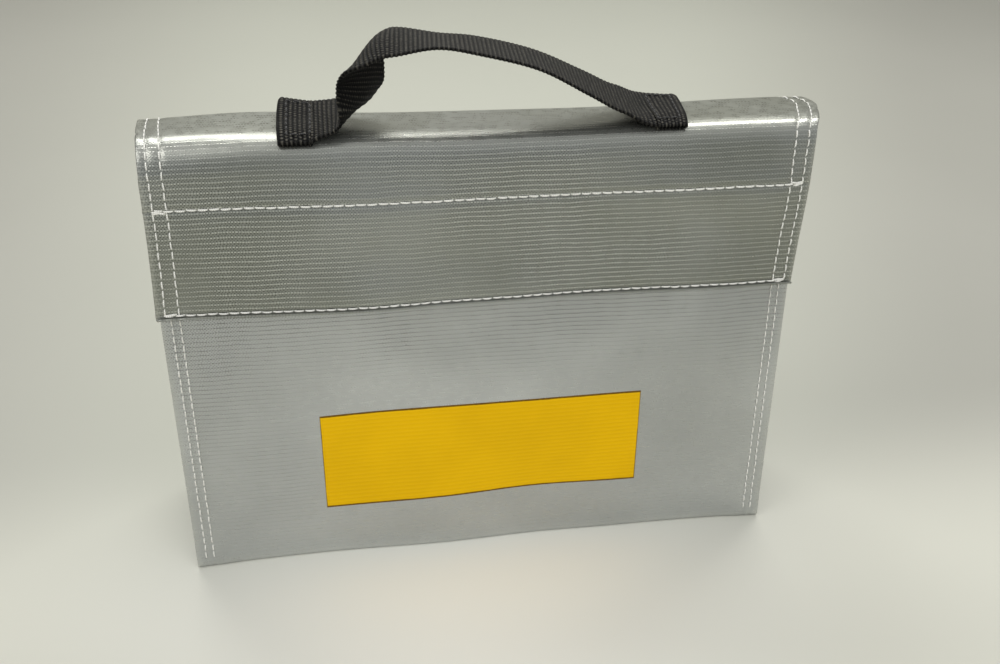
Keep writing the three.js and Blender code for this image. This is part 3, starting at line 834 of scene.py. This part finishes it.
# Painted highlight along the rolled front fold
wear_and_highlight = wear_and_highlight + 0.8 * hill(r, 12.0, 4.0)
calm = 0.99 * smooth(r, 10, 3) + 0.5 * hill(r, flap.length, 1.5)
values = {"calm": np.clip(calm, 0, 1), "wear_and_highlight": wear_and_highlight}
layer = slab(points, thick, uv, values=values, cut=("first",))
obj = add_piece(
    "flap_cloth", layer, flap_cloth, ["flap_panel", "top_strip"], "front"
)


# ---- Pleated sides ----

GUSSET_TOP = front_at(MOUTH_SLANT - 1.5)[1]
GUSSET_FOOT = 2.2
GUSSET_FLAT = 80.0  # its width laid flat
SEAM_SHARE = 0.14  # share of the width in each seam allowance
FOOT_LIP = CLOTH + GAP + CLOTH  # upper face of the lip sewn to the base


def inner_y(z, which):
    """Middle of the gusset's seam allowance inside the front or the back, at a height."""
    lean = FRONT_LEAN if which < 0 else BACK_LEAN
    plane = which * (BAG_DEPTH_HALF - z * math.tan(lean))
    return plane - which * (CLOTH + GAP + CLOTH / 2) / math.cos(lean)


def gusset_grid(side):
    """Middle layer of a pleated side before it sags, folded inward between its seams."""
    heights = np.concatenate([np.linspace(GUSSET_FOOT, 14, 7), np.linspace(17, GUSSET_TOP, 56)])
    reach = (inner_y(GUSSET_FOOT, 1) - inner_y(GUSSET_FOOT, -1)) / 2
    wall = BAG_HALF - FIN
    edge = BAG_HALF - GAP - CLOTH / 2
    seam = np.linspace(0, SEAM_SHARE, 6)
    pleat = np.linspace(SEAM_SHARE + 0.02, 1 - SEAM_SHARE - 0.02, 27)
    shares = np.concatenate([seam, pleat, seam + 1 - SEAM_SHARE])
    folds = np.sin(np.clip((shares - SEAM_SHARE) / (1 - 2 * SEAM_SHARE), 0, 1) * 2 * math.pi) ** 2
    levels = []
    for z in heights:
        front, back = inner_y(z, -1), inner_y(z, 1)
        inward = math.sqrt(max(reach**2 - ((back - front) / 2) ** 2, 0))
        soft = 1.1 * math.sin(z / 23 + side) * smooth(z, 5, 40)
        middle = (front + back) / 2 + 0.8 * math.sin(z / 31 + 0.6 * side)
        fold = (wall - inward - 0.02, middle)
        corners = [(edge, front), (wall, front), fold, (wall, back), (edge, back)]
        run, path = rounded_path(corners, [1.2, min(2.2, 0.6 + inward / 12), 1.2], 0.1)
        at = shares * run[-1]
        px = np.interp(at, run, path[:, 0])
        py = np.interp(at, run, path[:, 1])
        levels.append(np.stack([px + soft * folds, py, np.full_like(px, z)], axis=-1))
    grid = np.stack(levels, axis=1)
    grid[..., 0] *= side
    run = shares[:, None] * GUSSET_FLAT + 0 * heights[None, :]
    uv = np.stack([run, np.broadcast_to(heights, run.shape)], axis=-1) * MM
    return grid, uv


SIDES = (("left", -1), ("right", 1))
for name, side in SIDES:
    grid, uv = gusset_grid(side)
    warped = warp_bag(grid[..., 0], grid[..., 1], grid[..., 2])
    normal = unit(np.cross(np.gradient(warped, axis=0), np.gradient(warped, axis=1)) * side)
    values = {"calm": 0.3, "wear_and_highlight": 0.0}
    body = slab(warped + normal * (CLOTH / 2), CLOTH, uv, out=side, values=values)
    px = np.linspace(110.3, BAG_HALF - GAP - CLOTH / 2, 6)
    py = np.linspace(inner_y(1.6, -1) + 0.5, inner_y(1.6, 1) - 0.5, 26)
    gx, gy = np.meshgrid(px, py)
    lip = np.stack([gx * side, gy, np.full_like(gx, FOOT_LIP)], axis=-1)
    foot = slab(lip, CLOTH, np.stack([gx, gy], axis=-1) * MM, out=-side, values=values)
    layer = merged([body, foot])
    name = f"{name}_gusset"
    obj = add_piece(f"{name}_cloth", layer, body_cloth, [name], "bag")


# ---- Closing strips and the yellow panel ----


def conforming(
    name, strip, xs, runs, off, thickness, material, slot, node, where, rise=0.0, tilt=0.0, skew=0.0
):
    """Makes a piece of even thickness that lies off a cloth's face. rise is the height of its
    fuzz, tilt turns it, and skew slants its left side."""
    x, r, _ = strip_grid(strip, xs, runs)
    uv = np.stack([x - (xs[0] + xs[-1]) / 2, (runs[0] + runs[-1]) / 2 - r], axis=-1) * MM
    fuzz = rise * np.random.RandomState(len(name)).rand(*x.shape)
    aside = skew * np.clip((xs.mean() - x) / np.ptp(xs) + 0.5, 0, 1)
    turned = r - (tilt - 0.5 * aside / np.ptp(xs)) * (x - xs.mean())
    points = strip.at(x - aside, turned, off + thickness + fuzz)
    add_piece(name, slab(points, thickness, uv), material, [node], where)


def front_run(slant):
    return MOUTH_SLANT - slant


PILE = 1.0  # thickness of a closing strip
INK = 0.12
xs = np.linspace(-STRIP_HALF, STRIP_HALF, 150)
slants = np.linspace(STRIP_LOW + STRIP_HEIGHT, STRIP_LOW, 27)
runs = front_run(slants)
role = (loop_pile, "loop_pile", "loop_strip", "bag")
conforming("loop_strip_pile", pouch, xs, runs, 0.08, PILE, *role, rise=0.35)
runs = flap.length + FLAP_EDGE - slants
role = (hook_tape, "hook_tape", "hook_strip", "flap")
conforming("hook_strip_tape", flap, xs, runs, -HEM - 0.1 - PILE, PILE, *role)
xs = LABEL_MIDDLE[0] + np.linspace(-1, 1, 64) * (LABEL_HALF[0] - 0.5)
runs = front_run(LABEL_MIDDLE[1] + np.linspace(1, -1, 24) * LABEL_HALF[1])
role = (label_ink, "yellow_print", "label_panel", "bag")
conforming("yellow_panel_print", pouch, xs, runs, -0.02, INK, *role, tilt=0.011, skew=0.7)


# ---- Stitches ----

STITCH_SIDES = 6
STITCH_RINGS = 7
# Pitch, gap and radius of the stitches, in millimetres
SIDE_SEAM = (3.5, 0.8, 0.3)
LEVEL_SEAM = (3.85, 0.5, 0.4)
PLAIN_SEAM = (3.6, 0.7, 0.3)
BOX_SEAM = (3.0, 0.5, 0.34)


def stitch_faces():
    """A tube of quads, and a fan of triangles round the point at each end."""
    faces = []
    last = (STITCH_RINGS - 1) * STITCH_SIDES
    ring = [(m, (m + 1) % STITCH_SIDES) for m in range(STITCH_SIDES)]
    for k in range(0, last, STITCH_SIDES):
        faces += [(k + m, k + n, k + n + STITCH_SIDES, k + m + STITCH_SIDES) for m, n in ring]
    tip = last + STITCH_SIDES
    for m, n in ring:
        faces += [(tip, n, m), (tip + 1, last + m, last + n)]
    return faces


def stitch(line, start, end, shift, sway, radius):
    """One raised stitch between two lengths along a line, its ends drawn into the cloth."""
    run, *rows = line
    t = np.linspace(0, 1, STITCH_RINGS)
    at = start + (end - start) * t
    centre, up = (
        np.stack([np.interp(at, run, row[:, k]) for k in range(3)], axis=1) for row in rows
    )
    along = unit(np.gradient(centre, axis=0))
    side = unit(np.cross(up, along))
    lift = radius * (1.35 * (1 - np.abs(2 * t - 1) ** 3.2) - 0.62)
    centre = centre + up * lift[:, None] + side * (sway * (2 * t - 1) + shift)[:, None]
    girth = radius * (0.72 + 0.28 * np.sin(math.pi * t) ** 0.5)
    share = np.arange(STITCH_SIDES)[:, None] / STITCH_SIDES
    turn = 2 * math.pi * share
    ring = side[:, None] * np.cos(turn) + up[:, None] * 0.85 * np.sin(turn)
    tube = (centre[:, None] + ring * girth[:, None, None]).reshape(-1, 3)
    tips = [centre[0] - along[0] * girth[0] * 0.6, centre[-1] + along[-1] * girth[-1] * 0.6]
    uv = np.stack(np.broadcast_arrays(at[:, None], share[:, 0] * radius * 6), axis=-1)
    uv = uv.reshape(-1, 2) * MM
    return np.vstack([tube, tips]), stitch_faces(), np.vstack([uv, uv[0], uv[-1]]), {}


def stitched(pts, nrm, pitch, gap, radius, seed, knots):
    """Row of stitches along a line of points, with back-tacked ends where knots is set."""
    rng = random.Random(seed)
    run = run_along(pts)
    count = max(1, round(run[-1] / pitch))
    pitch = run[-1] / count
    spans = []
    for k in range(count):
        slip = rng.uniform(-0.12, 0.12)
        low, high = k * pitch + gap / 2 + slip, (k + 1) * pitch - gap / 2 + slip
        spans.append((low, high, rng.uniform(-0.1, 0.1), rng.uniform(-0.1, 0.1)))
    for first, step in ((0.3, 0.9), (run[-1] - 3.2, -0.9)) if knots else ():
        for k in range(3):
            low = first + k * step
            spans.append((low, low + 2.7, rng.choice((-0.45, 0.4)), rng.uniform(-0.3, 0.3)))
    parts = []
    for low, high, shift, sway in spans:
        girth = radius * rng.uniform(0.92, 1.08)
        low, high = max(low, 0.0), min(high, run[-1])
        parts.append(stitch((run, pts, nrm), low, high, shift, sway, girth))
    return merged(parts)


def sew(name, line, seam, seed, where, thread="white_thread", knots=False):
    """Stitches along points and normals, which stand for the node of the same name."""
    layer = stitched(*line, *seam, seed, knots)
    material = {"white_thread": white_thread, "black_thread": black_thread}[thread]
    add_piece(f"{name}_stitches", layer, material, [f"{name}_thread"], where)


def row_on(strip, x0, r0, x1, r1, off):
    """Line of points on a cloth, from (x0, r0) to (x1, r1), and the normals there."""
    count = max(8, int(math.hypot(x1 - x0, r1 - r0) / 0.5))
    x, r = np.linspace(x0, x1, count), np.linspace(r0, r1, count)
    return strip.at(x, r, off), strip.normal(x, r)


seed = 11
for side_name, side in SIDES:
    for row, body_x, flap_x in zip(("outer", "inner"), BODY_ROWS, FLAP_ROWS):
        seed += 1
        body_x, flap_x = side * body_x, side * flap_x
        for name, strip, *ends, where in (
            ("front", pouch, body_x, 1.8, body_x, MOUTH_SLANT - 4.5, "bag"),
            ("back", pouch, body_x, BASE_RUN - 2.0, body_x, pouch.length, "bag"),
            ("top", upper_back, body_x, 0.2, flap_x, upper_back.length, "back"),
            ("flap", flap, flap_x, 0.2, flap_x, flap.length - 1.6, "front"),
        ):
            seed += 1
            line = row_on(strip, *ends, -0.2)
            sew(f"{name}_{side_name}_{row}", line, SIDE_SEAM, seed, where)

for name, run_at, seed in zip(("lower", "upper"), LEVEL_ROWS, (71, 73)):
    line = row_on(flap, -117.6, run_at, 117.4, run_at, -0.12)
    sew(f"flap_{name}", line, LEVEL_SEAM, seed, "front", knots=True)

for name, slant, seed in (("lower", 118.0, 81), ("upper", 150.0, 83)):
    pts, nrm = row_on(pouch, -108.5, front_run(slant), 108.5, front_run(slant), -CLOTH - 0.02)
    sew(f"loop_{name}", (pts, -nrm), PLAIN_SEAM, seed, "bag")

for side_name, side in SIDES:
    y = np.linspace(inner_y(1.6, -1) + 2, inner_y(1.6, 1) - 2, 100)
    x = np.full_like(y, side * (BAG_HALF - FIN / 2))
    pts = np.stack([x, y, np.full_like(y, FOOT_LIP)], axis=-1)
    nrm = np.tile([0.0, 0.0, 1.0], (len(y), 1))
    sew(f"base_{side_name}", (pts, nrm), PLAIN_SEAM, 91 + side, "bag")


# ---- Handle ----

STRAP_HALF = 12.5
STRAP = 1.35
STRAP_SET = (-0.6, -2.0)  # how far to the front the left and the right sewn end are set

# Stations of the strap's middle: x, y, z, turn and bank in degrees, and curl in millimetres
STATIONS = (
    (-61, -6.8, 179.1, 0, -12, 0),
    (-53.5, -6.8, 180.6, 0, -7, 0.3),
    (-48.9, -6.2, 182.4, 8, -3, -1.5),
    (-46.6, -5.8, 185.6, 20, 5, -3.4),
    (-44.4, -5.8, 188.6, 33, 11, -3.6),
    (-42.8, -6.2, 192.3, 39, 13, -1),
    (-41.4, -6.6, 196.4, 33, 10, 1.6),
    (-38.8, -6.9, 200.6, 19, 2, 3.2),
    (-34.7, -6.8, 204.9, 8, -5, 2.8),
    (-29.2, -6.6, 205.9, 4, -5, 0.8),
    (-16, -6.7, 205.7, 5, 4, 0),
    (-2, -6.7, 203.7, 5, 2, 0),
    (18.5, -6.7, 198.3, 5, 1, 0),
    (36.8, -6.5, 189.5, 6, -2, 0),
    (49, -6, 183.3, 6, -4, 0),
    (62, -5.2, 180.1, 4, -8, 0),
)
# Sewn ends: name, x where the strap lifts off, x of the outer edge, and slant of that edge
ENDS = (("left", -60.4, -71.0, 0.0), ("right", 61.6, 72.8, -1.4))
SETTLES = ((-58.5, -61.2), (50, 62))  # where the arch comes down to each end
ACROSS = 25  # points across the strap
LOW_LAYER = 0.85  # middles of a sewn end's two layers, above the cloth
HIGH_LAYER = 2.35
# How far the strap's far edge stands off the top, at places along x
LIFT_AT = (-71, -60, 0, 50, 62, 72)
LIFTS = (2.8, 1.4, 1.4, 2.4, 1.5, 0.3)


def top_surface(x, reach, off):
    """Point on the cloth under the strap's middle line, reach millimetres towards the front."""
    aside = np.where(np.asarray(x) < 0, *STRAP_SET)
    run = np.asarray(reach, float) + TOP_MIDDLE[0] - STRAP_Y + aside
    on_flap = flap.at(x, np.clip(run, 0, None), off)
    on_back = upper_back.at(x, np.clip(upper_back.length + run, 0, upper_back.length), off)
    return np.where((run >= 0)[..., None], on_flap, on_back)


def catmull(rows, steps):
    """Smooth curve through the rows, with steps points to each of them."""
    rows = np.array(rows, float)
    padded = np.vstack([2 * rows[0] - rows[1], rows, 2 * rows[-1] - rows[-2]])
    t = np.linspace(0, 1, steps, endpoint=False)[:, None]
    out = []
    for p0, p1, p2, p3 in zip(padded, padded[1:], padded[2:], padded[3:]):
        bend = (2 * p0 - 5 * p1 + 4 * p2 - p3) * t**2 + (3 * p1 - p0 - 3 * p2 + p3) * t**3
        out.append(0.5 * (2 * p1 + (p2 - p0) * t + bend))
    return np.vstack(out + [padded[-2]])


share = np.linspace(-1, 1, ACROSS)
reach = share * STRAP_HALF
arch = catmull(STATIONS, 9)
centre = arch[:, :3]
tangent = unit(np.gradient(centre, axis=0))
turn, bank, curl = np.radians(arch[:, 3]), np.radians(arch[:, 4]), arch[:, 5:]
near = [-np.sin(turn) * np.cos(bank), -np.cos(turn) * np.cos(bank), np.sin(bank)]
near = np.stack(near, axis=1)
face = unit(np.cross(near, tangent))
arched = face[:, None] * (curl * (1 - share**2))[..., None]
free = centre[:, None] + near[:, None] * reach[:, None] + arched


def end_lift(x, place):
    """How far a sewn end stands off the top, place going from -1 at its far edge to 1."""
    return np.interp(x, LIFT_AT, LIFTS) * smooth(place, 0.2, -1.0)


def laid(x, height, lifted=1.0):
    """Section of the strap lying on the top at x, its far edge lifted."""
    raised = height + lifted * end_lift(x, share)
    return top_surface(np.full_like(reach, x), reach, raised)


def end_sections(inner_x, outer_x, slant):
    """Sections of a sewn end: its lower layer, the turn, and the upper layer back again."""
    direction = math.copysign(1, outer_x)
    inner_x += direction * 0.3
    swell = slant * share + direction * 0.5 * (1 - share**2)
    low, high = [], []
    for t in np.linspace(0, 1, 8):
        x = inner_x + (outer_x - inner_x) * t + swell * t
        low.append(laid(x, LOW_LAYER, 0.5))
        high.append(laid(x, HIGH_LAYER))
    middle, radius = (HIGH_LAYER + LOW_LAYER) / 2, (HIGH_LAYER - LOW_LAYER) / 2
    for a in np.radians(np.linspace(-60, 60, 5)):
        x = outer_x + direction * radius * math.cos(a) + swell
        low.append(laid(x, middle + radius * math.sin(a), 0.75 + 0.25 * math.sin(a)))
    return low + high[::-1]


left, right = (end_sections(*end[1:]) for end in ENDS)
joined = []
for x, section in zip(centre[:, 0], free):
    hold = smooth(x, *SETTLES[0 if x < 0 else 1])
    joined.append(section * (1 - hold) + laid(x, HIGH_LAYER + 0.2) * hold)
rough = np.array(left + joined + right[::-1])
rough_run = run_along(rough[:, ACROSS // 2])
run = np.arange(0, rough_run[-1], STRAP_RIB / 5)
place = np.interp(run, rough_run, np.arange(len(rough)))
below = np.clip(np.floor(place).astype(int), 0, len(rough) - 2)
step = (place - below)[:, None, None]
sections = rough[below] * (1 - step) + rough[below + 1] * step
ribs = 0.17 * (np.abs(np.sin(run / STRAP_RIB * math.pi)) ** 0.8 - 1)[:, None]
over = np.gradient(sections, axis=1)
normal = unit(np.cross(over, np.gradient(sections, axis=0)))
edge = unit(over) * (share**7 * (0.1 + ribs) * 1.4)[..., None]
outer = sections + edge + normal * (STRAP / 2 + ribs[..., None])
uv = np.stack(np.meshgrid(run, reach + STRAP_HALF, indexing="ij"), axis=-1) * MM
obj = add_piece(
    "handle_webbing",
    slab(outer, STRAP + 2 * ribs, uv, out=-1),
    webbing,
    ["handle_strap"] + [f"handle_{side}_{part}" for part in ("root", "end") for side, _ in SIDES],
    "handle",
)


def on_end(end, x, place):
    """Points on a sewn end's upper face, place going from -1 at its far edge to 1."""
    _, inner_x, outer_x, slant = end
    shift = slant * place * np.abs(x - inner_x) / abs(outer_x - inner_x)
    raised = HIGH_LAYER + end_lift(x, place) + STRAP / 2 - 0.12
    return top_surface(x + shift, place * STRAP_HALF, raised)


BOX_POINTS = 40  # to each side of a box of stitches
for end in ENDS:
    direction = math.copysign(1, end[1])
    x0, x1 = end[1] + direction * 0.8, end[2] - direction * 1.7
    at = np.arange(4 * BOX_POINTS) / BOX_POINTS
    x = np.interp(at, range(5), (x0, x1, x1, x0, x0))
    place = np.interp(at, range(5), (-0.8, -0.8, 0.8, 0.8, -0.8))
    here = on_end(end, x, place)
    up = unit(np.cross(on_end(end, x, place + 0.03) - here, on_end(end, x + 0.3, place) - here))
    sew(f"handle_{end[0]}_end", (here, up), BOX_SEAM, 61, "top_strip", "black_thread")


# ---- Floor, light and camera ----


def floor_with_painted_light():
    """Pale table top with painted light: a painted pool of light in front of the bag and behind it,
    and painted shade to both sides.
    """
    n = Nodes("studio_floor")
    place = n.place()
    x, y = n.parts(place)
    aside = n.size(n.add(x, n.add(0.01, n.times(y, -0.15))))
    reach = n.math("MAXIMUM", n.add(0.35, n.times(y, 0.5)), 0.2)
    cloud = n.noise(place, 3.0, 2)
    share = n.math("DIVIDE", aside, reach)
    # Painted pool of light in front of the bag, fading to painted shade to the sides
    ahead = n.mix(n.ramp(share, 0.0, 0.6), srgb(246, 245, 235), srgb(201, 200, 188))
    # Behind the bag: lighter in the middle, painted shade to the sides
    behind = n.mix(n.ramp(share, 0.25, 0.75), srgb(185, 186, 174), srgb(164, 163, 154))
    colour = n.mix(n.ramp(y, -0.07, 0.06), ahead, behind)
    # Further to the front the painted pool of light fades
    colour = n.mix(n.ramp(y, -0.3, -0.12), srgb(200, 199, 188), colour)
    colour = n.mix(n.ramp(cloud, 0.3, 0.7, 0.0, 0.05), colour, srgb(214, 212, 204))
    normal = n.bump(n.noise(place, 900, 2), 0.00003, 0.3)
    return n.set(colour=colour, rough=0.55, normal=normal, specular=0.25)


def wall_material():
    n = Nodes("studio_wall")
    cloud = n.ramp(n.noise(n.place(), 2.0, 2), 0.3, 0.7)
    colour = n.mix(cloud, srgb(214, 211, 201), srgb(208, 205, 195))
    return n.set(colour=colour, rough=0.8, specular=0.2)


def plane(name, corners, material):
    mesh = bpy.data.meshes.new(name)
    mesh.from_pydata(corners, [], [(0, 1, 2, 3)])
    mesh.materials.append(material)
    return placed(name, mesh)


FLOOR = [(-2.5, -1.6, 0), (2.5, -1.6, 0), (2.5, 1.25, 0), (-2.5, 1.05, 0)]
WALL = [(-3.5, 1.3, -0.3), (3.5, 1.3, -0.3), (3.5, 1.5, 2.2), (-3.5, 1.5, 2.2)]
floor = plane("studio_floor", FLOOR, floor_with_painted_light())
wall = plane("studio_wall", WALL, wall_material())


def area_light(name, location, target, size, power, colour):
    light = bpy.data.lights.new(name, "AREA")
    light.shape = "RECTANGLE"
    light.size, light.size_y = size
    light.energy = power
    light.color = colour
    obj = placed(name, light)
    obj.location = location
    direction = Vector(target) - Vector(location)
    obj.rotation_euler = direction.to_track_quat("-Z", "Y").to_euler()
    return obj


area_light("back_light", (0.12, 0.66, 1.15), (0.02, 0, 0.1), (1.4, 0.36), 11, (1.0, 0.995, 0.975))
area_light("left_light", (-0.75, -0.35, 1.1), (0, 0, 0.1), (0.6, 0.6), 3, (1.0, 0.99, 0.97))
front = area_light(
    "front_light", (0.2, -1.5, 1.3), (0, -0.1, 0.05), (2.4, 1.8), 18, (0.98, 0.99, 1.0)
)
front.visible_glossy = False  # no second highlight on the fold
world = bpy.data.worlds.new("studio")
world.use_nodes = True
background = world.node_tree.nodes["Background"]
background.inputs[0].default_value = (0.93, 0.95, 0.97, 1)
background.inputs[1].default_value = 0.5
bpy.context.scene.world = world

camera_data = bpy.data.cameras.new("camera")
camera_data.sensor_width = 36
camera_data.lens = 36.75
camera_data.clip_start = 0.01
camera = placed("camera", camera_data)
ahead = Vector((0.1412, 0.8477, -0.5113)).normalized()
right_hand = Vector((0.9879, -0.1545, 0.0166))
right_hand = (right_hand - ahead * right_hand.dot(ahead)).normalized()
upward = right_hand.cross(ahead)
turned = Matrix((right_hand, upward, -ahead)).transposed().to_4x4()
camera.matrix_world = Matrix.Translation((-0.0508, -0.3563, 0.2990)) @ turned
bpy.context.scene.camera = camera

bpy.context.scene.view_settings.view_transform = "Standard"
